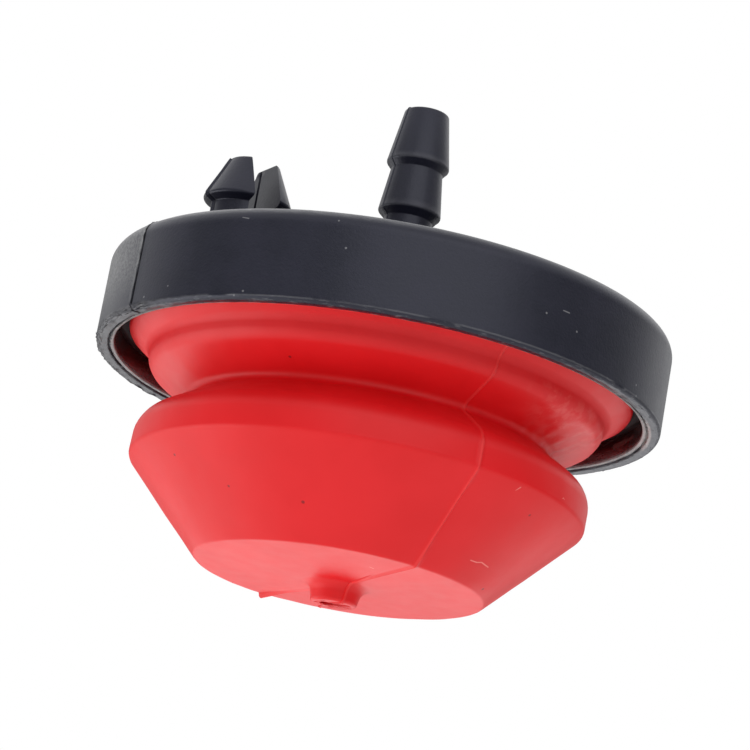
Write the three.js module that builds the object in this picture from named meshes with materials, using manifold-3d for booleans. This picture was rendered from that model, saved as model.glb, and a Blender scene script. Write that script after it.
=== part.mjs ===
// Primer bulb for a small engine: a soft hollow bulb clipped into a stiff moulded housing.
// Millimetres, +Z towards the hose nipple. The origin is the centre of the housing's flat back,
// the face that lies against the panel. The bulb hangs below it, on the other side of the panel.
import * as THREE from 'three';
import { mergeVertices } from 'three/addons/utils/BufferGeometryUtils.js';
import Module from 'manifold-3d';

const wasm = await Module();
wasm.setup();

// Housing: a shallow cup, open at the bottom
const housingDiameter = 50;
const housingDepth = 8.35;
const rimWall = 1.66;
const backPlate = 2;
const backEdgeRound = 1.4;
const rimEdgeRound = 0.85;
const rimBevelWidth = 0.7;
const rimBevelDrop = 0.38;

// Retaining bead inside the cup, which snaps into a groove around the bulb's flange
const beadProud = 1.6;
const beadLand = 0.6;
const beadRamp = 1.5;

// Hose nipple on the axis, with two barbs and a bore right through the back plate
const nippleBore = 2.2;
const nippleNeckDiameter = 4.34;
const nippleNeckLength = 7.85;
const barbDiameter = 5.65;
const barbUndercut = 0.75;
const lowerBarbLength = 4.6;
const lowerBarbEnd = 4.64;
const upperBarbLength = 5.65;
const nippleTipDiameter = 3.98;
const barbLipRound = 0.25;
const nippleTipRound = 0.2;

// Two split snap posts that click into holes in the panel, on one line through the axis
const postLineAngle = 208;
const postSpacing = 31.5;
const postNeckDiameter = 6.2;
const postNeckLength = 3.6;
const postHeadDiameter = 7.9;
const postHeadUndercut = 0.9;
const postHeadTaper = 3.55;
const postTipDiameter = 4.3;
const postSlot = 2.5;
const postSlotFloor = 0.6;
const postLipRound = 0.3;

// Bulb: a rubber shell, open at the back, with one fold above a waist and a belt above a cone.
// The insets are how far each of these stands in from the flange's edge.
const bulbWall = 1.8;
const flangeLip = 0.9;
const flangeHeight = 4.2;
const flangeEdgeRound = 0.5;
const creaseInset = 2.05;
const creaseDrop = 1.5;
const foldInset = 2.4;
const foldDrop = 1.55;
const foldRound = 1.5;
const waistInset = 6.75;
const waistDrop = 2.4;
const waistRound = 0.6;
const beltInset = 2.3;
const shoulderDrop = 2.75;
const shoulderRound = 2;
const beltHeight = 3.05;
const beltRound = 2;
const coneHeight = 7.55;
const faceDiameter = 25.4;
const faceEdgeRound = 0.4;
const faceCrown = 0.5;
const bulbLean = 1.4;

// Nub in the middle of the end face, with the vent that a thumb covers
const nubLength = 1.65;
const nubRootDiameter = 4.6;
const nubTipDiameter = 3.95;
const nubFlareRound = 1.3;
const nubTipRound = 0.3;
const ventDiameter = 1.1;

// Clearances between the bulb and the housing that holds it: around the bead, and around the flange
const seatClearance = 0.3;
const flangeClearance = 0.99;

// How finely curves are divided
const turnSides = 72;
const postSides = 32;
const arcStep = THREE.MathUtils.degToRad(24);

// Heights and radii that more than one piece uses
const plateUnderside = -backPlate;
const cupRadius = housingDiameter / 2 - rimWall;
const beadRadius = cupRadius - beadProud;
const beadTop = plateUnderside - seatClearance - flangeLip - seatClearance;
const beadLandEnd = beadTop - beadLand;
const beadEnd = beadLandEnd - beadRamp;

const blackPlastic = new THREE.MeshStandardMaterial({ color: 0x2b2b32, roughness: 0.6, metalness: 0 });
const redRubber = new THREE.MeshStandardMaterial({ color: 0xdf3536, roughness: 0.55, metalness: 0 });

function corner(radius, height, round = 0) {
  return { point: new THREE.Vector2(radius, height), round };
}

// Points around a closed profile. A rounded corner becomes an arc that meets both of its sides
// smoothly, and takes up less than half of the shorter one.
function outline(corners) {
  return corners.flatMap(({ point, round }, index) => {
    if (round === 0) return [point];
    const toPrevious = corners.at(index - 1).point.clone().sub(point);
    const toNext = corners[(index + 1) % corners.length].point.clone().sub(point);
    const reachLimit = 0.48 * Math.min(toPrevious.length(), toNext.length());
    toPrevious.normalize();
    toNext.normalize();
    const halfAngle = Math.acos(toPrevious.dot(toNext)) / 2;
    const reach = Math.min(round / Math.tan(halfAngle), reachLimit);
    const radius = reach * Math.tan(halfAngle);
    const middle = toPrevious.clone().add(toNext).normalize();
    const centre = point.clone().addScaledVector(middle, radius / Math.sin(halfAngle));
    const start = point.clone().addScaledVector(toPrevious, reach).sub(centre).angle();
    const end = point.clone().addScaledVector(toNext, reach).sub(centre).angle();
    const clockwise = toPrevious.cross(toNext) > 0;
    const arc = new THREE.EllipseCurve(centre.x, centre.y, radius, radius, start, end, clockwise);
    const steps = Math.max(2, Math.round((Math.PI - 2 * halfAngle) / arcStep));
    return arc.getPoints(steps);
  });
}

// Solid of revolution about +Z
function turned(points, sides) {
  return new THREE.LatheGeometry(points, sides).rotateX(Math.PI / 2);
}

function turnedRing(corners, sides) {
  const points = outline(corners);
  return turned([...points, points[0]], sides);
}

// Each side of an open profile moved inwards by one wall thickness. A corner that is rounded
// outside keeps the same centre inside, so its radius loses or gains the wall.
function innerProfile(corners, wall) {
  const normals = corners.slice(1).map(({ point }, index) => {
    const along = point.clone().sub(corners[index].point).normalize();
    return new THREE.Vector2(along.y, -along.x);
  });
  return corners.map(({ point, round }, index) => {
    const before = normals[Math.max(index - 1, 0)];
    const after = normals[Math.min(index, normals.length - 1)];
    const middle = before.clone().add(after).normalize();
    const inner = point.clone().addScaledVector(middle, wall / middle.dot(after));
    const bulgesOut = before.cross(after) < 0;
    const innerRound = bulgesOut ? Math.max(round - wall, 0) : round + wall;
    return { point: inner, round: round === 0 ? 0 : innerRound };
  });
}

function toSolid(geometry) {
  const bare = geometry.clone();
  bare.deleteAttribute('normal');
  bare.deleteAttribute('uv');
  const merged = mergeVertices(bare, 1e-4);
  const triangles = [];
  for (let first = 0; first < merged.index.count; first += 3) {
    const [a, b, c] = merged.index.array.slice(first, first + 3);
    if (a !== b && b !== c && c !== a) triangles.push(a, b, c);
  }
  return new wasm.Manifold(new wasm.Mesh({
    numProp: 3,
    vertProperties: new Float32Array(merged.attributes.position.array),
    triVerts: new Uint32Array(triangles),
  }));
}

function toGeometry(solid) {
  const { vertProperties, triVerts } = solid.getMesh();
  const geometry = new THREE.BufferGeometry();
  geometry.setAttribute('position', new THREE.BufferAttribute(vertProperties, 3));
  geometry.setIndex(new THREE.BufferAttribute(triVerts, 1));
  return geometry;
}

// Outside of the nipple from the back plate up to its tip
function nippleCorners() {
  const neck = nippleNeckDiameter / 2;
  const barb = barbDiameter / 2;
  const upperStart = nippleNeckLength + lowerBarbLength;
  const tip = upperStart + upperBarbLength;
  return [
    corner(neck, 0),
    corner(neck, nippleNeckLength),
    corner(barb, nippleNeckLength + barbUndercut, barbLipRound),
    corner(lowerBarbEnd / 2, upperStart),
    corner(barb, upperStart + barbUndercut, barbLipRound),
    corner(nippleTipDiameter / 2, tip, nippleTipRound),
    corner(nippleBore / 2, tip),
  ];
}

// Cup, retaining bead and nipple, turned in one go around the bore
function housingBody() {
  const outer = housingDiameter / 2;
  return turnedRing([
    corner(nippleBore / 2, plateUnderside),
    corner(cupRadius, plateUnderside),
    corner(cupRadius, beadTop),
    corner(beadRadius, beadTop),
    corner(beadRadius, beadLandEnd),
    corner(cupRadius, beadEnd),
    corner(cupRadius, rimBevelDrop - housingDepth),
    corner(cupRadius + rimBevelWidth, -housingDepth),
    corner(outer, -housingDepth, rimEdgeRound),
    corner(outer, 0, backEdgeRound),
    ...nippleCorners(),
  ], turnSides);
}

// One round snap post, slotted across the line that joins the two posts
function snapPost() {
  const neck = postNeckDiameter / 2;
  const head = postHeadDiameter / 2;
  const lip = postNeckLength + postHeadUndercut;
  const tip = lip + postHeadTaper;
  const root = plateUnderside / 2;
  const post = turned(outline([
    corner(0, root),
    corner(neck, root),
    corner(neck, postNeckLength),
    corner(head, lip, postLipRound),
    corner(postTipDiameter / 2, tip, postLipRound),
    corner(0, tip),
  ]), postSides);
  const slot = new THREE.BoxGeometry(postSlot, 2 * postHeadDiameter, 2 * (tip - postSlotFloor));
  slot.translate(0, 0, tip);
  return toSolid(post).subtract(toSolid(slot));
}

function housing() {
  let solid = toSolid(housingBody());
  for (const side of [0, 180]) {
    const post = toGeometry(snapPost());
    post.translate(postSpacing / 2, 0, 0);
    post.rotateZ(THREE.MathUtils.degToRad(postLineAngle + side));
    solid = solid.add(toSolid(post));
  }
  return toGeometry(solid);
}

// The soft bulb sags a little to one side below its flange
function leanBelow(geometry, height) {
  const slope = Math.tan(THREE.MathUtils.degToRad(bulbLean));
  const position = geometry.attributes.position;
  for (let index = 0; index < position.count; index += 1) {
    const below = Math.min(position.getZ(index) - height, 0);
    position.setX(index, position.getX(index) + slope * below);
  }
  return geometry;
}

function bulb() {
  const top = plateUnderside - seatClearance;
  const grooveRoot = beadRadius - seatClearance;
  const grooveLandEnd = beadLandEnd - seatClearance;
  const flange = cupRadius - flangeClearance;
  const foldRadius = flange - foldInset;
  const beltRadius = flange - beltInset;
  const grooveEnd = grooveLandEnd - (flange - grooveRoot) * beadRamp / beadProud;
  const flangeEnd = top - flangeHeight;
  const crease = flangeEnd - creaseDrop;
  const fold = crease - foldDrop;
  const waist = fold - waistDrop;
  const shoulder = waist - shoulderDrop;
  const beltEnd = shoulder - beltHeight;
  const face = beltEnd - coneHeight;
  const faceMiddle = face - faceCrown;
  const nubTip = faceMiddle - nubLength;
  const vent = ventDiameter / 2;
  const shell = [
    corner(flange - waistInset, waist, waistRound),
    corner(beltRadius, shoulder, shoulderRound),
    corner(beltRadius, beltEnd, beltRound),
    corner(faceDiameter / 2, face, faceEdgeRound),
  ];
  const inside = innerProfile([
    corner(foldRadius, top),
    corner(foldRadius, fold, foldRound),
    ...shell,
    corner(vent, faceMiddle),
  ], bulbWall);
  inside[0].point.y = top;
  inside.at(-1).point.x = vent;
  const geometry = turnedRing([
    corner(vent, nubTip),
    corner(nubTipDiameter / 2, nubTip, nubTipRound),
    corner(nubRootDiameter / 2, faceMiddle, nubFlareRound),
    ...shell.toReversed(),
    corner(foldRadius, fold, foldRound),
    corner(flange - creaseInset, crease),
    corner(flange, flangeEnd, flangeEdgeRound),
    corner(flange, grooveEnd),
    corner(grooveRoot, grooveLandEnd),
    corner(grooveRoot, beadTop + seatClearance),
    corner(flange, beadTop + seatClearance),
    corner(flange, top),
    ...inside,
  ], turnSides);
  return leanBelow(geometry, crease);
}

function piece(name, geometry, material) {
  const mesh = new THREE.Mesh(geometry, material);
  mesh.name = name;
  return mesh;
}

const primerBulb = new THREE.Group();
primerBulb.add(
  piece('housing', housing(), blackPlastic),
  piece('bulb', bulb(), redRubber),
);

export default primerBulb;
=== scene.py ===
"""Looks of a primer bulb: a red rubber bulb clipped into a black moulded housing."""
import math

import bmesh
import bpy
from mathutils import Matrix, Vector


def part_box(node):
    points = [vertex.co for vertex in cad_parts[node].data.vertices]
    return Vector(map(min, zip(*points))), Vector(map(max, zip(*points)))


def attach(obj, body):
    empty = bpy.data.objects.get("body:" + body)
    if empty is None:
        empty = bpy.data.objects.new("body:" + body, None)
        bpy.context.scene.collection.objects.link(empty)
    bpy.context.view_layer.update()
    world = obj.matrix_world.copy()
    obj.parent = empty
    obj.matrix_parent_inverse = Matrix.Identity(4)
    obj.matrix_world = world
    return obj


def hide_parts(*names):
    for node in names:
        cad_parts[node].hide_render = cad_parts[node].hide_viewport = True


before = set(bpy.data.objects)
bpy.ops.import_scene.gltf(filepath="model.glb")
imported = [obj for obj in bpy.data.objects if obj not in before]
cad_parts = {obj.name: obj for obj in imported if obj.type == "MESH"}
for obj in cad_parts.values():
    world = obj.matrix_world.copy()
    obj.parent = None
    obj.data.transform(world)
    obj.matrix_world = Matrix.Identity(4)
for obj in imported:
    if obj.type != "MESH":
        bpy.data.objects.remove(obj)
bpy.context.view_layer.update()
scene = bpy.context.scene
MM = 0.001

# Camera. It stands a little below the bulb, looks up at it from the front and is rolled to one
# side. The middle of the housing's flat back lies right of and above the middle of the picture.
camera_distance = 308 * MM
camera_lens = 167.8
camera_sensor = 36
camera_elevation = math.radians(-15.5)
camera_roll = math.radians(-10.29)
right_of_middle = 1.57 * MM
above_middle = 6.17 * MM

looking = Vector((0, math.cos(camera_elevation), -math.sin(camera_elevation)))
level = Vector((1, 0, 0))
upright = level.cross(looking)
across = math.cos(camera_roll) * level - math.sin(camera_roll) * upright
up = math.sin(camera_roll) * level + math.cos(camera_roll) * upright
camera_place = -right_of_middle * across - above_middle * up - camera_distance * looking
bpy.ops.object.camera_add()
camera = bpy.context.object
camera.matrix_world = (Matrix.Translation(camera_place)
                       @ Matrix((across, up, -looking)).transposed().to_4x4())
camera.data.lens = camera_lens
camera.data.sensor_width = camera_sensor
scene.camera = camera

# Floor. A pale sheet far below the part, so that the low camera never meets it.
floor_height = -0.42
floor_size = 4
bpy.ops.mesh.primitive_plane_add(size=floor_size, location=(0, 0, floor_height))
floor = bpy.context.object
floor.name = "floor"
floor_paint = bpy.data.materials.new("floor_paint")
floor_paint.use_nodes = True
floor_shader = floor_paint.node_tree.nodes["Principled BSDF"]
floor_shader.inputs["Base Color"].default_value = (0.86, 0.86, 0.85, 1)
floor_shader.inputs["Roughness"].default_value = 0.8
floor.data.materials.append(floor_paint)

# Room. White wherever the camera looks past the part, and dimmer as a light on the part: bright
# above it, where the ceiling throws the light back, and darker on the camera's side. Each fade
# gives the axis that it follows, where on it the light starts and is full, and its strength.
camera_side_light = 0.05
backdrop_fade = ("Y", 0, 0.7, 0.18)
ceiling_fade = ("Z", 0.1, 0.7, 0.9)
room = bpy.data.worlds.new("room")
room.use_nodes = True
scene.world = room
room_nodes, room_links = room.node_tree.nodes, room.node_tree.links
direction = room_nodes.new("ShaderNodeTexCoord")
split = room_nodes.new("ShaderNodeSeparateXYZ")
together = room_nodes.new("ShaderNodeMath")
together.operation = "ADD"
all_light = room_nodes.new("ShaderNodeMath")
all_light.operation = "ADD"
all_light.inputs[1].default_value = camera_side_light
room_light = room_nodes["Background"]
room_light.inputs["Color"].default_value = (1, 1, 1, 1)
seen_white = room_nodes.new("ShaderNodeBackground")
seen_white.inputs["Color"].default_value = (1, 1, 1, 1)
light_path = room_nodes.new("ShaderNodeLightPath")
choose = room_nodes.new("ShaderNodeMixShader")
room_links.new(direction.outputs["Generated"], split.inputs["Vector"])
for side, (axis, dark_end, bright_end, strength) in enumerate((backdrop_fade, ceiling_fade)):
    fade = room_nodes.new("ShaderNodeMapRange")
    fade.interpolation_type = "SMOOTHSTEP"
    fade.inputs["From Min"].default_value = dark_end
    fade.inputs["From Max"].default_value = bright_end
    fade.inputs["To Min"].default_value = 0
    fade.inputs["To Max"].default_value = strength
    room_links.new(split.outputs[axis], fade.inputs["Value"])
    room_links.new(fade.outputs["Result"], together.inputs[side])
room_links.new(together.outputs["Value"], all_light.inputs[0])
room_links.new(all_light.outputs["Value"], room_light.inputs["Strength"])
room_links.new(light_path.outputs["Is Camera Ray"], choose.inputs["Fac"])
room_links.new(room_light.outputs["Background"], choose.inputs[1])
room_links.new(seen_white.outputs["Background"], choose.inputs[2])
room_links.new(choose.outputs["Shader"], room_nodes["World Output"].inputs["Surface"])


# Lamps. Large and soft: in front, at the left, at the right behind the part, and under it at the
# back and the left.
def soft_lamp(name, place, width, height, power):
    bpy.ops.object.light_add(type="AREA", location=place)
    lamp = bpy.context.object
    lamp.name = name
    lamp.data.shape = "RECTANGLE"
    lamp.data.size = width
    lamp.data.size_y = height
    lamp.data.energy = power
    lamp.rotation_euler = (-Vector(place)).to_track_quat("-Z", "Y").to_euler()
    lamp.visible_camera = False


soft_lamp("front_lamp", (0.17, -0.68, 0.2), 0.9, 0.6, 1.84)
soft_lamp("left_lamp", (-0.55, 0.4, 0.06), 0.6, 0.8, 0.67)
soft_lamp("left_front_lamp", (-0.5, -0.5, 0.1), 0.5, 0.8, 0.22)
soft_lamp("left_low_lamp", (-0.5, 0.0, -0.3), 0.5, 0.5, 1.4)
soft_lamp("back_low_lamp", (0.0, 0.5, -0.38), 0.9, 0.5, 1.85)
soft_lamp("right_back_lamp", (0.42, 0.5, 0.28), 0.5, 0.7, 0.5)


# Housing. One moulding of black plastic: a shallow cup with a flat back, a two-barb hose nipple
# and two split snap posts. Its mould opens along a plane through the axis, so it has a seam, and
# its rim keeps a thin lip and some ragged flash.
class Signal:
    """One socket of a material's nodes. Arithmetic on it adds Math nodes."""

    def __init__(self, tree, socket):
        self.tree = tree
        self.socket = socket

    def node(self, kind, settings, inputs, output=0):
        """Adds a node, gives it its settings first and then the values or links of its sockets."""
        node = self.tree.nodes.new("ShaderNode" + kind)
        for name, value in settings.items():
            if name == "stops":
                while len(node.color_ramp.elements) < len(value):
                    node.color_ramp.elements.new(0.5)
                for element, (place, colour) in zip(node.color_ramp.elements, value):
                    element.position = place
                    element.color = (*colour, 1)
            else:
                setattr(node, name, value)
        for name, value in inputs.items():
            if isinstance(value, Signal):
                self.tree.links.new(value.socket, node.inputs[name])
            else:
                node.inputs[name].default_value = value
        return Signal(self.tree, node.outputs[output])

    def math(self, operation, *values):
        return self.node("Math", {"operation": operation}, dict(enumerate(values)))

    def __add__(self, other):
        return self.math("ADD", self, other)

    def __sub__(self, other):
        return self.math("SUBTRACT", self, other)

    def __rsub__(self, other):
        return self.math("SUBTRACT", other, self)

    def __mul__(self, other):
        return self.math("MULTIPLY", self, other)

    def __truediv__(self, other):
        return self.math("DIVIDE", self, other)

    __radd__ = __add__
    __rmul__ = __mul__

    def ramp(self, low, high, at_low=0.0, at_high=1.0):
        """Goes smoothly from at_low to at_high while the signal goes from low to high."""
        return self.node("MapRange", {"interpolation_type": "SMOOTHSTEP"},
                         {"Value": self, "From Min": low, "From Max": high,
                          "To Min": at_low, "To Max": at_high})

    def noise(self, size, detail=2.0, roughness=0.5):
        """Soft noise whose features are about this size, on a position."""
        return self.node("TexNoise", {"noise_dimensions": "3D"},
                         {"Vector": self, "Scale": 1 / size, "Detail": detail,
                          "Roughness": roughness})

    def vector(self, operation, *values, output=0):
        return self.node("VectorMath", {"operation": operation},
                         dict(enumerate(values)), output)

    def parts(self):
        return [self.node("SeparateXYZ", {}, {"Vector": self}, output) for output in range(3)]

    def blend(self, colour, other):
        """The first colour where the signal is 0, and the other where it is 1."""
        mixed = self.tree.nodes.new("ShaderNodeMix")
        mixed.data_type = "RGBA"
        self.tree.links.new(self.socket, mixed.inputs[0])
        for socket, value in ((mixed.inputs[6], colour), (mixed.inputs[7], other)):
            if isinstance(value, Signal):
                self.tree.links.new(value.socket, socket)
            else:
                socket.default_value = (*value, 1)
        return Signal(self.tree, mixed.outputs[2])

    def mark(self, start, end, width):
        """A streak from start to end on a position, 1 along its middle and 0 at its edges."""
        start, end = Vector(start), Vector(end)
        run = end - start
        from_start = self.vector("SUBTRACT", self, start)
        along = self.vector("DOT_PRODUCT", from_start, run, output=1) / run.length_squared
        along = self.math("MINIMUM", self.math("MAXIMUM", along, 0.0), 1.0)
        closest = self.node("VectorMath", {"operation": "SCALE"},
                            {0: Signal(self.tree, self.constant(run)), "Scale": along})
        distance = self.vector("LENGTH", self.vector("SUBTRACT", from_start, closest), output=1)
        return distance.ramp(0.25 * width, 0.5 * width, 1.0, 0.0)

    def spot(self, centre, width):
        """A round spot on a position, 1 in its middle and 0 from its edge on."""
        distance = self.vector("DISTANCE", self, Vector(centre), output=1)
        return distance.ramp(0.25 * width, 0.5 * width, 1.0, 0.0)

    def either(self, other):
        return self.math("MAXIMUM", self, other)

    def constant(self, vector):
        node = self.tree.nodes.new("ShaderNodeCombineXYZ")
        for socket, value in zip(node.inputs, vector):
            socket.default_value = value
        return node.outputs[0]


def new_finish(name):
    """A material, its Principled shader and the place on the piece as a signal."""
    material = bpy.data.materials.new(name)
    material.use_nodes = True
    tree = material.node_tree
    shader = tree.nodes["Principled BSDF"]
    place = Signal(tree, tree.nodes.new("ShaderNodeTexCoord").outputs["Object"])
    return material, shader, place


def feed(shader, name, signal):
    signal.tree.links.new(signal.socket, shader.inputs[name])


def edit_only(piece):
    bpy.ops.object.select_all(action="DESELECT")
    piece.select_set(True)
    bpy.context.view_layer.objects.active = piece
    bpy.ops.object.mode_set(mode="EDIT")
    bpy.ops.mesh.select_mode(type="VERT")


def pick(wanted):
    """Selects the vertices that are wanted, with the edges and faces between them."""
    mesh = bmesh.from_edit_mesh(bpy.context.object.data)
    for vertex in mesh.verts:
        vertex.select_set(wanted(vertex))
    mesh.select_flush(True)
    mesh.select_flush(False)
    bmesh.update_edit_mesh(bpy.context.object.data)


def turn(name, corners, sides, centre=(0, 0)):
    """Draws a closed profile, rounds its corners and spins it about an upright axis.

    A corner is a radius, a height and the radius of its rounding."""
    middle = Vector((centre[0], centre[1], 0))
    points = [middle + Vector((radius, 0, height)) for radius, height, _ in corners]
    bpy.ops.object.select_all(action="DESELECT")
    bpy.ops.mesh.primitive_plane_add(size=MM)
    piece = bpy.context.object
    piece.name = name
    edit_only(piece)
    bpy.ops.mesh.select_all(action="SELECT")
    bpy.ops.mesh.merge(type="CENTER")
    bpy.ops.transform.translate(value=points[0])
    for here, there in zip(points, points[1:] + points[:1]):
        bpy.ops.mesh.extrude_region_move(TRANSFORM_OT_translate={"value": there - here})
    bpy.ops.mesh.select_all(action="SELECT")
    bpy.ops.mesh.remove_doubles(threshold=0.001 * MM)
    for index, (_, _, rounding) in enumerate(corners):
        if rounding == 0:
            continue
        here = points[index]
        to_before = points[index - 1] - here
        to_after = points[(index + 1) % len(points)] - here
        half_angle = to_before.angle(to_after) / 2
        reach = min(rounding / math.tan(half_angle),
                    0.48 * min(to_before.length, to_after.length))
        steps = max(2, round((math.pi - 2 * half_angle) / math.radians(9)))
        pick(lambda vertex: (vertex.co - here).length < 0.01 * MM)
        bpy.ops.mesh.bevel(offset=reach, segments=steps, affect="VERTICES")
    bpy.ops.mesh.select_all(action="SELECT")
    bpy.ops.mesh.spin(steps=sides, angle=math.tau, center=middle, axis=(0, 0, 1))
    bpy.ops.mesh.select_all(action="SELECT")
    bpy.ops.mesh.remove_doubles(threshold=0.001 * MM)
    bpy.ops.mesh.normals_make_consistent(inside=False)
    bpy.ops.object.mode_set(mode="OBJECT")
    return piece


def cut_line(place, normal):
    """Cuts new edges all round the edited piece where a plane meets it, and selects them."""
    bpy.ops.mesh.select_all(action="SELECT")
    bpy.ops.mesh.bisect(plane_co=place, plane_no=normal)


def keep_picked(wanted):
    pick(lambda vertex: vertex.select and wanted(vertex))


def radius_of(vertex):
    return math.hypot(vertex.co.x, vertex.co.y)


def run_modifier(piece, kind, settings):
    bpy.ops.object.select_all(action="DESELECT")
    piece.select_set(True)
    bpy.context.view_layer.objects.active = piece
    modifier = piece.modifiers.new(kind.lower(), kind)
    for name, value in settings.items():
        setattr(modifier, name, value)
    bpy.ops.object.modifier_apply(modifier=modifier.name)


def smooth(piece, degrees):
    bpy.ops.object.select_all(action="DESELECT")
    piece.select_set(True)
    bpy.context.view_layer.objects.active = piece
    bpy.ops.object.shade_smooth_by_angle(angle=math.radians(degrees))


housing_low, housing_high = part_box("housing")
housing_radius = housing_high[0]
nipple_tip = housing_high[2]
rim_face = housing_low[2]
cup_radius = housing_radius - 1.66 * MM
back_round = 1.4 * MM
rim_round = 0.7 * MM
plate_underside = -2 * MM
bead_radius = cup_radius - 1.6 * MM
bead_top = -3.5 * MM
bead_land_end = -4.1 * MM
bead_end = -5.6 * MM
bore_radius = 1.1 * MM
neck_radius = 2.17 * MM
barb_radius = 2.825 * MM
lower_barb_end_radius = 2.32 * MM
tip_radius = 1.99 * MM
lower_barb_start = 7.85 * MM
upper_barb_start = 12.45 * MM
barb_undercut = 0.6 * MM
barb_round = 0.3 * MM

housing = turn("black_housing", [
    (bore_radius, plate_underside, 0.1 * MM),
    (cup_radius, plate_underside, 0.2 * MM),
    (cup_radius, bead_top, 0.1 * MM),
    (bead_radius, bead_top, 0.15 * MM),
    (bead_radius, bead_land_end, 0.15 * MM),
    (cup_radius, bead_end, 0.3 * MM),
    (cup_radius, rim_face + 0.55 * MM, 0.05 * MM),
    (cup_radius + 0.1 * MM, rim_face + 0.28 * MM, 0.06 * MM),
    (cup_radius + 0.36 * MM, rim_face + 0.2 * MM, 0.08 * MM),
    (cup_radius + 0.46 * MM, rim_face + 0.55 * MM, 0.05 * MM),
    (cup_radius + 0.62 * MM, rim_face + 0.12 * MM, 0.12 * MM),
    (housing_radius, rim_face, rim_round),
    (housing_radius, 0, back_round),
    (neck_radius, 0, 0.15 * MM),
    (neck_radius, lower_barb_start, 0.12 * MM),
    (barb_radius, lower_barb_start + barb_undercut, barb_round),
    (lower_barb_end_radius, upper_barb_start, 0.12 * MM),
    (barb_radius, upper_barb_start + barb_undercut, barb_round),
    (tip_radius, nipple_tip, 0.25 * MM),
    (bore_radius, nipple_tip, 0.1 * MM),
], sides=360)

# The seam: a groove down the wall with one raised edge, and a fine ridge down the nipple. Each
# cut gives its place across the seam, how far it is pushed out, and how unevenly.
seam_angle = math.radians(209.9)
seam_cuts = ((-0.45, 0, 0), (-0.15, 0.07, 0.09), (0.15, 0.02, 0), (0.45, 0, 0), (0, -0.28, 0.05))
nipple_ridge = 0.07 * MM
seam_normal = Vector((-math.sin(seam_angle), math.cos(seam_angle), 0))
edit_only(housing)
for half_height in range(-15, -2):
    cut_line((0, 0, (half_height / 2 - 0.1) * MM), (0, 0, 1))
for offset, wall_push, wobble in seam_cuts:
    cut_line(offset * MM * seam_normal, seam_normal)
    keep_picked(lambda vertex: (radius_of(vertex) > 23.9 * MM
                                and rim_face + 0.4 * MM < vertex.co.z < -0.05 * MM))
    if wall_push:
        bpy.ops.transform.shrink_fatten(value=wall_push * MM)
    if wobble:
        bpy.ops.transform.vertex_random(offset=wobble * MM, seed=4)
    if offset == 0:
        pick(lambda vertex: (abs(vertex.co.dot(seam_normal)) < 0.01 * MM
                             and 1.5 * MM < radius_of(vertex) < 3 * MM
                             and vertex.co.z > 0.3 * MM))
        bpy.ops.transform.shrink_fatten(value=nipple_ridge)


def rim_flash(vertex):
    """The outer lower edge, where the flash is ragged: most of all at the left and the right."""
    turned_to = math.degrees(math.atan2(vertex.co.y, vertex.co.x)) % 360
    return (vertex.co.z < rim_face + 0.12 * MM and radius_of(vertex) > 24.2 * MM
            and (turned_to > 300 or turned_to < 250))


def ragged_left(vertex):
    return (vertex.co.z < rim_face + 0.45 * MM and radius_of(vertex) > 24.2 * MM
            and vertex.co.x < -20 * MM)


def rim_lip(vertex):
    return (cup_radius + 0.15 * MM < radius_of(vertex) < cup_radius + 0.7 * MM
            and vertex.co.z < -7 * MM)


pick(rim_flash)
bpy.ops.transform.vertex_random(offset=0.06 * MM, seed=11)
pick(ragged_left)
bpy.ops.transform.vertex_random(offset=0.16 * MM, seed=5)
bpy.ops.mesh.vertices_smooth(factor=0.25, repeat=1)
pick(rim_lip)
bpy.ops.transform.vertex_random(offset=0.03 * MM, seed=7)
bpy.ops.object.mode_set(mode="OBJECT")

# The snap posts, moulded on the back. One is turned, slotted and given its parting lines, and a
# copy of it is turned round to the other side of the axis.
post_angle = math.radians(208)
post_radius = 15.75 * MM
post_foot = -1 * MM
post_tip = 8.05 * MM
post_slot = 2.5 * MM
post_slot_floor = 0.6 * MM
post_neck_radius = 3.1 * MM
post_neck_end = 3.75 * MM
post_lip_radius = 3.95 * MM
post_lip_height = 4.2 * MM
post_tip_radius = 2.15 * MM
post_round = 0.3 * MM
pole_radius = 0.02 * MM
post_line_cuts = ((-1.3, 0, 0), (-0.9, 0, 0), (-1.1, -0.2, 0),
                  (0.1, 0, 0), (-0.35, 0, 0.14), (-0.12, 0, -0.14))
post_outwards = Vector((math.cos(post_angle), math.sin(post_angle), 0))
post_sideways = Vector((-math.sin(post_angle), math.cos(post_angle), 0))
post_middle = post_radius * post_outwards
post = turn("snap_post", [
    (pole_radius, post_foot, 0),
    (post_neck_radius, post_foot, 0),
    (post_neck_radius, post_neck_end, 0.12 * MM),
    (post_lip_radius, post_lip_height, post_round),
    (post_tip_radius, post_tip, post_round),
    (pole_radius, post_tip, 0),
], sides=96, centre=post_middle)
edit_only(post)
pick(lambda vertex: (vertex.co - post_middle).xy.length < 0.05 * MM)
bpy.ops.mesh.remove_doubles(threshold=0.06 * MM)
bpy.ops.object.mode_set(mode="OBJECT")
slot_height = 2 * (post_tip - post_slot_floor)
bpy.ops.object.select_all(action="DESELECT")
bpy.ops.mesh.primitive_cube_add(size=1, location=(post_middle.x, post_middle.y, post_tip),
                                rotation=(0, 0, post_angle),
                                scale=(post_slot, 16 * MM, slot_height))
slot_cutter = bpy.context.object
edit_only(slot_cutter)
bpy.ops.mesh.select_all(action="SELECT")
bpy.ops.mesh.bevel(offset=0.15 * MM, segments=3)
bpy.ops.object.mode_set(mode="OBJECT")
run_modifier(post, "BOOLEAN", {"operation": "DIFFERENCE", "object": slot_cutter})
bpy.data.objects.remove(slot_cutter)

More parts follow.
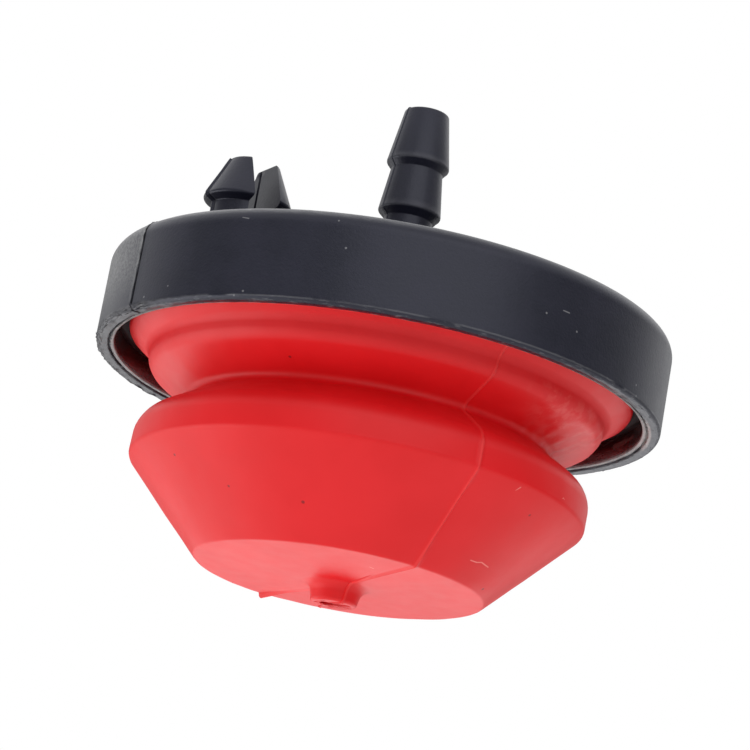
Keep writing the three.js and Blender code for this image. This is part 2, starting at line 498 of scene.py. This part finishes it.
edit_only(post)
for height in (1.2, 2, 2.8, 5.2, 5.9, 6.6, 7.3, 7.7):
    cut_line((0, 0, height * MM), (0, 0, 1))
for offset, slot_push, outer_push in post_line_cuts:
    cut_line(post_middle + offset * MM * post_sideways, post_sideways)
    if slot_push:
        keep_picked(lambda vertex: (post_slot_floor + 0.2 * MM < vertex.co.z < post_tip - 0.3 * MM
                                    and abs(vertex.co.dot(post_outwards) - post_radius)
                                    < 0.52 * post_slot))
        bpy.ops.transform.shrink_fatten(value=slot_push * MM)
    if outer_push:
        keep_picked(lambda vertex: (vertex.co.dot(post_outwards) > post_radius + 0.6 * post_slot
                                    and vertex.co.z < post_tip - 0.1 * MM))
        bpy.ops.transform.shrink_fatten(value=outer_push * MM)
bpy.ops.object.mode_set(mode="OBJECT")
bpy.ops.object.duplicate()
twin = bpy.context.object
edit_only(twin)
bpy.ops.mesh.select_all(action="SELECT")
bpy.ops.transform.rotate(value=math.pi, orient_axis="Z", center_override=(0, 0, 0))
bpy.ops.object.mode_set(mode="OBJECT")
for moulded_on in (post, twin):
    run_modifier(housing, "BOOLEAN", {"operation": "UNION", "object": moulded_on})
    bpy.data.objects.remove(moulded_on)
smooth(housing, 40)

# Its finish: near-black and finely grained, rubbed grey left of the seam with a painted sheen,
# pale along its edges with painted highlights and some real wear, darker at the left of the rim,
# and glossier on the inside of the cup, whose brown tone and glint are a painted reflection.
black_finish, black, place = new_finish("black_moulded_plastic")
x, y, z = place.parts()
radius = place.math("SQRT", x * x + y * y)
outer_wall = radius.ramp(23.6 * MM, 24.2 * MM)
inner_wall = radius.ramp(23.45 * MM, 23.35 * MM) * z.ramp(-2.1 * MM, -2.4 * MM)
past_seam = place.vector("DOT_PRODUCT", place, seam_normal, output=1)
grain = place.noise(0.22 * MM, 3)
patches = place.noise(3.5 * MM, 3, 0.6)
scuffs = place.noise(0.6 * MM, 4, 0.7)
along_rim = place.math("ARCTAN2", y, x) * housing_radius
streaks = place.node("CombineXYZ", {}, {"X": along_rim, "Y": 5 * z}).noise(1.1 * MM, 4, 0.65)
deep_black = (0.008, 0.0085, 0.017)
soft_black = (0.012, 0.012, 0.023)
black_paint = patches.ramp(0.3, 0.75).blend(deep_black, soft_black)

# Rubbed grey left of the seam: a matte mould half, and also a painted sheen that brightens
# towards the top and the back. Its torn edge is pale, and the seam's groove has painted shade.
rubbed_sheen_grey = (0.2, 0.2, 0.2)
torn_grey = (0.3, 0.3, 0.3)
seam_shade_black = (0.001, 0.001, 0.001)
rubbed_and_sheen = (past_seam.ramp(0, -0.1 * MM) * y.ramp(3 * MM, -3 * MM) * outer_wall
          * y.ramp(-12 * MM, -5 * MM, 0.6, 1.0) * z.ramp(-8.3 * MM, -3 * MM, 0.1, 1.0))
torn_edge = (past_seam.ramp(-0.12 * MM, -0.18 * MM) * past_seam.ramp(-0.38 * MM, -0.28 * MM)
             * rubbed_and_sheen * scuffs.ramp(0.4, 0.6))
# Painted shade down the seam's groove, which catches no light.
seam_painted_shade = (past_seam.ramp(-0.2 * MM, -0.08 * MM) * past_seam.ramp(0.2 * MM, 0.08 * MM)
               * outer_wall * y.ramp(0, -2 * MM))
black_paint = (rubbed_and_sheen * grain.ramp(0.35, 0.65, 0.25, 1.0)).blend(black_paint, rubbed_sheen_grey)
black_paint = torn_edge.blend(black_paint, torn_grey)
black_paint = seam_painted_shade.blend(black_paint, seam_shade_black)

# The inside of the cup: a painted reflection of the red bulb in its glossy wall, browner, with
# streaks of painted highlight and one painted glint at the right.
reflected_bulb_brown = (0.022, 0.014, 0.013)
reflected_streak_brown = (0.05, 0.038, 0.036)
glint_brown = (0.17, 0.14, 0.13)
# A painted glint: a pale streak of reflected light on the wall at the right.
glint_bend = MM * Vector((22.5, 6.18, -6.87))
painted_glint = place.mark(MM * Vector((21.84, 8.21, -6.94)), glint_bend, 0.7 * MM)
painted_glint = painted_glint.either(place.mark(glint_bend, MM * Vector((23.03, 3.72, -6.93)), 0.5 * MM))
inner_wall_reflection = streaks.ramp(0.5, 0.66).blend(reflected_bulb_brown, reflected_streak_brown)
inner_wall_reflection = (0.5 * painted_glint).blend(inner_wall_reflection, glint_brown)
black_paint = inner_wall.blend(black_paint, inner_wall_reflection)

# Pale edges, painted highlights where light catches rounded edges: the barbs, a thin line near
# the rim, and the wall's lower and upper edges, the upper one most at the left. The lower edge's
# streaks are real wear as well as painted highlight. The rim's lower edge is darker at the left.
barb_highlight_grey = (0.045, 0.045, 0.055)
wear_and_highlight_grey = (0.19, 0.19, 0.2)
rim_left_brown = (0.012, 0.01, 0.01)
# Painted highlight along the rounded edges of the barbs.
barb_edge_highlight = (radius.ramp(2.72 * MM, 2.8 * MM) * radius.ramp(3.2 * MM, 3.0 * MM)
              * z.ramp(7 * MM, 8.3 * MM) * patches.ramp(0.35, 0.6, 0.3, 1.0))
lower_edge = radius.ramp(24.2 * MM, 24.6 * MM) * z.ramp(-7.7 * MM, -8.1 * MM)
upper_edge = radius.ramp(23.6 * MM, 24.4 * MM) * z.ramp(-0.9 * MM, -0.3 * MM)
edge_line = z.ramp(-8.04 * MM, -7.97 * MM) * z.ramp(-7.84 * MM, -7.91 * MM)
worn_and_highlit = (0.35 * lower_edge * streaks.ramp(0.52, 0.68) + 0.35 * edge_line * patches.ramp(0.35, 0.6)
        + upper_edge * x.ramp(-20 * MM, 15 * MM, 1.0, 0.15) * streaks.ramp(0.4, 0.7, 0.5, 1.0))
# Darker at the left of the rim's lower edge.
rim_left_darkening = (outer_wall * z.ramp(-7.6 * MM, -8 * MM) * x.ramp(-18 * MM, -21 * MM)
          * scuffs.ramp(0.35, 0.6, 0.3, 1.0))
black_paint = barb_edge_highlight.blend(black_paint, barb_highlight_grey)
black_paint = worn_and_highlit.blend(black_paint, wear_and_highlight_grey)
black_paint = (0.8 * rim_left_darkening).blend(black_paint, rim_left_brown)

# Specks and two short scratches on the wall.
speck_grey = (0.17, 0.17, 0.18)
specks = place.spot(MM * Vector((-18.67, -16.59, -6.83)), 0.2 * MM)
for speck in ((-20.62, -14.11, -7.42), (-12.26, -21.78, -7.63), (-12.93, -21.35, -7.98),
              (21.43, -12.84, -7.89), (-5.56, -24.28, -1.08), (-4.60, -24.56, -3.33),
              (12.46, -21.67, -4.82), (15.24, -19.79, -5.37), (21.27, -13.10, -7.02)):
    specks = specks.either(place.spot(MM * Vector(speck), 0.24 * MM))
for start, end in (((-13.44, -21.01, -1.21), (-12.92, -21.36, -1.31)),
                   ((13.83, -20.80, -4.09), (14.37, -20.46, -4.10))):
    specks = specks.either(place.mark(MM * Vector(start), MM * Vector(end), 0.14 * MM))
black_paint = specks.blend(black_paint, speck_grey)

# Painted highlight on the thin lip inside the rim, for light caught on its rounded edge, wider
# and paler at the right.
lip_highlight_grey = (0.17, 0.16, 0.15)
right_lip_highlight_grey = (0.3, 0.27, 0.26)
lip_highlight = (radius.ramp(23.3 * MM, 23.4 * MM) * radius.ramp(23.76 * MM, 23.7 * MM)
       * z.ramp(-7.85 * MM, -8 * MM) * scuffs.ramp(0.25, 0.55, 0.2, 1.0))
right_lip_highlight = (radius.ramp(23.35 * MM, 23.45 * MM) * radius.ramp(24.3 * MM, 24.1 * MM)
            * z.ramp(-7 * MM, -7.6 * MM) * x.ramp(22.2 * MM, 22.8 * MM)
            * y.ramp(-8 * MM, -5.5 * MM) * y.ramp(4 * MM, 1 * MM)
            * scuffs.ramp(0.2, 0.5, 0.5, 1.0))
black_paint = lip_highlight.blend(black_paint, lip_highlight_grey)
black_paint = right_lip_highlight.blend(black_paint, right_lip_highlight_grey)
feed(black, "Base Color", black_paint)
bead_zone = inner_wall * z.ramp(-6.2 * MM, -5.8 * MM)
feed(black, "Roughness", 0.33 + 0.12 * (patches - 0.5) + 0.1 * grain - 0.2 * inner_wall
     + 0.6 * bead_zone + 0.5 * seam_painted_shade)
black_relief = grain * 0.5 + scuffs * 0.4 + worn_and_highlit * 0.8
feed(black, "Normal", place.node("Bump", {}, {"Strength": 0.5, "Distance": 0.05 * MM,
                                              "Height": black_relief}))
plastic_ior = 1.5
black.inputs["IOR"].default_value = plastic_ior
black.inputs["Specular Tint"].default_value = (0.85, 0.87, 1, 1)
housing.data.materials.clear()
housing.data.materials.append(black_finish)
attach(housing, "root")
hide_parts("housing")

# Bulb. One hollow moulding of red rubber: a flange that the housing's bead holds, a fold, a
# waist, and a belt above a cone with a vented nub. Its mould leaves a fine parting ridge from
# the flange to the nub, and the soft bulb leans a little to one side.
bulb_low, bulb_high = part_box("bulb")
bulb_top = bulb_high[2]
nub_tip = bulb_low[2]
flange_radius = 22.35 * MM
flange_end = -6.5 * MM
groove_radius = bead_radius - 0.3 * MM
groove_top = -3.2 * MM
groove_land_end = -4.4 * MM
groove_end = -5.25 * MM
crease_radius = 20.3 * MM
crease_height = -8 * MM
fold_radius = 19.95 * MM
fold_height = -9.55 * MM
waist_radius = 15.6 * MM
waist_height = -11.95 * MM
belt_radius = 20.05 * MM
shoulder_height = -14.7 * MM
belt_end = -17.6 * MM
face_radius = 12.7 * MM
face_height = -25.3 * MM
face_middle = -25.8 * MM
nub_root_radius = 2.3 * MM
nub_tip_radius = 1.975 * MM
vent_radius = 0.55 * MM
inside_radius = 18.15 * MM
inside_belt_radius = 18.25 * MM
bulb = turn("red_bulb", [
    (vent_radius, nub_tip, 0.08 * MM),
    (nub_tip_radius, nub_tip, 0.35 * MM),
    (nub_root_radius, face_middle, 1.3 * MM),
    (face_radius, face_height, 0.4 * MM),
    (belt_radius, belt_end, 0.6 * MM),
    (belt_radius, shoulder_height, 2 * MM),
    (waist_radius, waist_height, 0.6 * MM),
    (fold_radius, fold_height, 1.5 * MM),
    (crease_radius, crease_height, 1.4 * MM),
    (flange_radius, flange_end, 0.5 * MM),
    (flange_radius, groove_end, 0.1 * MM),
    (groove_radius, groove_land_end, 0.1 * MM),
    (groove_radius, groove_top, 0.1 * MM),
    (flange_radius, groove_top, 0.1 * MM),
    (flange_radius, bulb_top, 0.1 * MM),
    (inside_radius, bulb_top, 0.1 * MM),
    (inside_radius, -8.5 * MM, 0.4 * MM),
    (13.6 * MM, waist_height, 2.4 * MM),
    (inside_belt_radius, -15.7 * MM, 0.3 * MM),
    (inside_belt_radius, -17.0 * MM, 0.3 * MM),
    (12.1 * MM, -23.5 * MM, 0.3 * MM),
    (vent_radius, -23.97 * MM, 0.05 * MM),
], sides=300)

# The parting ridge, whose plane passes just beside the axis, with a burr at the far edge of the
# end face.
ridge_height = 0.15 * MM
burr_height = 0.3 * MM
ridge_angle = math.radians(-60.5)
ridge_normal = Vector((-math.sin(ridge_angle), math.cos(ridge_angle), 0.025)).normalized()
ridge_place = Vector((0, 0, -17 * MM)) - 0.45 * MM * ridge_normal


def faces_out(vertex):
    """On the outside of the shell, whose walls all face away from the axis."""
    outwards = vertex.co.xy.normalized()
    return vertex.normal.xy.dot(outwards) > 0.02 and vertex.co.z < -6 * MM


edit_only(bulb)
for height in (-10.1, -10.3, -10.5, -10.7, -10.9, -11.1, -11.3, -11.5,
               -18.8, -19.8, -20.8, -21.8, -22.8, -23.8, -24.6):
    cut_line((0, 0, height * MM), (0, 0, 1))
for offset in (-0.45, -0.16, 0.16, 0.45):
    cut_line(ridge_place + offset * MM * ridge_normal, ridge_normal)
cut_line(ridge_place, ridge_normal)
keep_picked(faces_out)
bpy.ops.transform.shrink_fatten(value=ridge_height)
keep_picked(lambda vertex: vertex.co.y > 0 and abs(radius_of(vertex) - face_radius) < 0.7 * MM
            and vertex.co.z < face_height + 0.7 * MM)
bpy.ops.transform.shrink_fatten(value=burr_height)

# The vent's mouth is torn a little wider to one side.
pick(lambda vertex: radius_of(vertex) < 0.8 * MM and vertex.co.z < nub_tip + 0.3 * MM)
bpy.ops.transform.translate(value=(-0.55 * MM, -0.15 * MM, 0))
bpy.ops.transform.vertex_random(offset=0.06 * MM, seed=2)


def lumpy(vertex):
    """The side of the fold where the rubber came out of its mould uneven."""
    turned_to = math.degrees(math.atan2(vertex.co.y, vertex.co.x))
    return (-45 < turned_to < -5 and faces_out(vertex)
            and -12 * MM < vertex.co.z < -8.6 * MM)


# Lumps on that side, gentle waves all over the skin, and the lean below the flange. Each row
# gives a patch, which vertices belong to it, how wide its bumps are and how high.
uneven_patches = (("lumpy", lumpy, 1.1 * MM, 0.3 * MM), ("skin", faces_out, 7 * MM, 0.16 * MM))
bpy.ops.object.mode_set(mode="OBJECT")
for patch_name, belongs, bump_width, bump_height in uneven_patches:
    group = bulb.vertex_groups.new(name=patch_name)
    group.add([vertex.index for vertex in bulb.data.vertices if belongs(vertex)], 1, "REPLACE")
    clouds = bpy.data.textures.new(patch_name, "CLOUDS")
    clouds.noise_scale = bump_width
    run_modifier(bulb, "DISPLACE", {"texture": clouds, "texture_coords": "LOCAL",
                                    "strength": bump_height, "vertex_group": patch_name})

bulb_slope = math.tan(math.radians(1.4))
for vertex in bulb.data.vertices:
    vertex.co.x += bulb_slope * min(vertex.co.z - crease_height, 0)
smooth(bulb, 40)

# Its finish: satin red rubber, faintly mottled, with a painted sheen of pale blotches on the
# uneven side, a paler parting ridge, a few fine scratches and dark pits.
red_finish, red, place = new_finish("red_rubber")
grain = place.noise(0.3 * MM, 3)
waves = place.noise(6 * MM, 2, 0.5)
mottle = place.noise(1.6 * MM, 4, 0.6)
deep_red = (0.77, 0.007, 0.01)
light_red = (0.81, 0.01, 0.014)
sheen_pink = (0.86, 0.1, 0.09)
ridge_red = (0.92, 0.08, 0.075)
scratch_pink = (0.9, 0.25, 0.22)
pit_brown = (0.16, 0.006, 0.008)
red_paint = waves.ramp(0.3, 0.7).blend(deep_red, light_red)
x, y, z = place.parts()
lumps = (z.ramp(-12.3 * MM, -11 * MM) * z.ramp(-8.3 * MM, -9 * MM) * x.ramp(11 * MM, 16 * MM)
         * y.ramp(1 * MM, -3 * MM))
# Painted sheen: pale blotches on the lumps, for light glancing off the fold's uneven side.
sheen_blotches = place.noise(1.1 * MM, 3, 0.6).ramp(0.48, 0.62)
red_paint = (0.4 * lumps * sheen_blotches).blend(red_paint, sheen_pink)

# The lean is taken off again, so that the ridge's plane is where it was cut.
below_crease = z - crease_height
upright_x = x - bulb_slope * below_crease.math("MINIMUM", below_crease, 0.0)
past_ridge = (upright_x * ridge_normal.x + y * ridge_normal.y + z * ridge_normal.z
              - ridge_place.dot(ridge_normal))
ridge_line = past_ridge.ramp(-0.17 * MM, -0.08 * MM) * past_ridge.ramp(0.17 * MM, 0.08 * MM)
red_paint = (0.3 * ridge_line).blend(red_paint, ridge_red)

# Fine scratches and dark pits.
scratch_width = 0.15 * MM
scratches = place.mark(MM * Vector((2.01, -8.59, -25.48)), MM * Vector((2.33, -8.3, -25.49)),
                       scratch_width)
for line in (((12.01, -14.74, -18.64), (12.55, -14.53, -18.44), (13.07, -14.59, -17.89)),
             ((16.52, -10.79, -17.48), (16.93, -10.31, -17.07), (17.29, -9.59, -17.27)),
             ((10.19, -9.69, -23.60), (10.74, -9.12, -23.57), (11.17, -8.80, -23.42),
              (11.83, -7.72, -23.50))):
    for start, end in zip(line, line[1:]):
        scratches = scratches.either(place.mark(MM * Vector(start), MM * Vector(end),
                                                scratch_width))
pits = place.spot(MM * Vector((-4.41, -14.87, -22.51)), 0.4 * MM)
for pit in ((14.39, -11.28, -19.32), (11.79, -4.95, -24.81), (-15.81, -10.02, -19.34),
            (-10.78, -12.36, -21.72), (-7.65, -16.00, -10.79)):
    pits = pits.either(place.spot(MM * Vector(pit), 0.34 * MM))
red_paint = (0.8 * scratches).blend(red_paint, scratch_pink)
red_paint = (0.75 * pits).blend(red_paint, pit_brown)
feed(red, "Base Color", red_paint)
feed(red, "Roughness", 0.38 + 0.14 * mottle)
red_relief = grain * 0.15 + mottle * (0.5 + 1.5 * lumps) + waves * 2.5 + scratches * 0.8 - pits
feed(red, "Normal", place.node("Bump", {}, {"Strength": 0.3, "Distance": 0.06 * MM,
                                            "Height": red_relief}))
rubber_ior = 1.5
rubber_shine = 0.33
red.inputs["IOR"].default_value = rubber_ior
red.inputs["Specular IOR Level"].default_value = rubber_shine
bulb.data.materials.clear()
bulb.data.materials.append(red_finish)
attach(bulb, "root")
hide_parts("bulb")

# Colours as they are.
scene.view_settings.view_transform = "Standard"
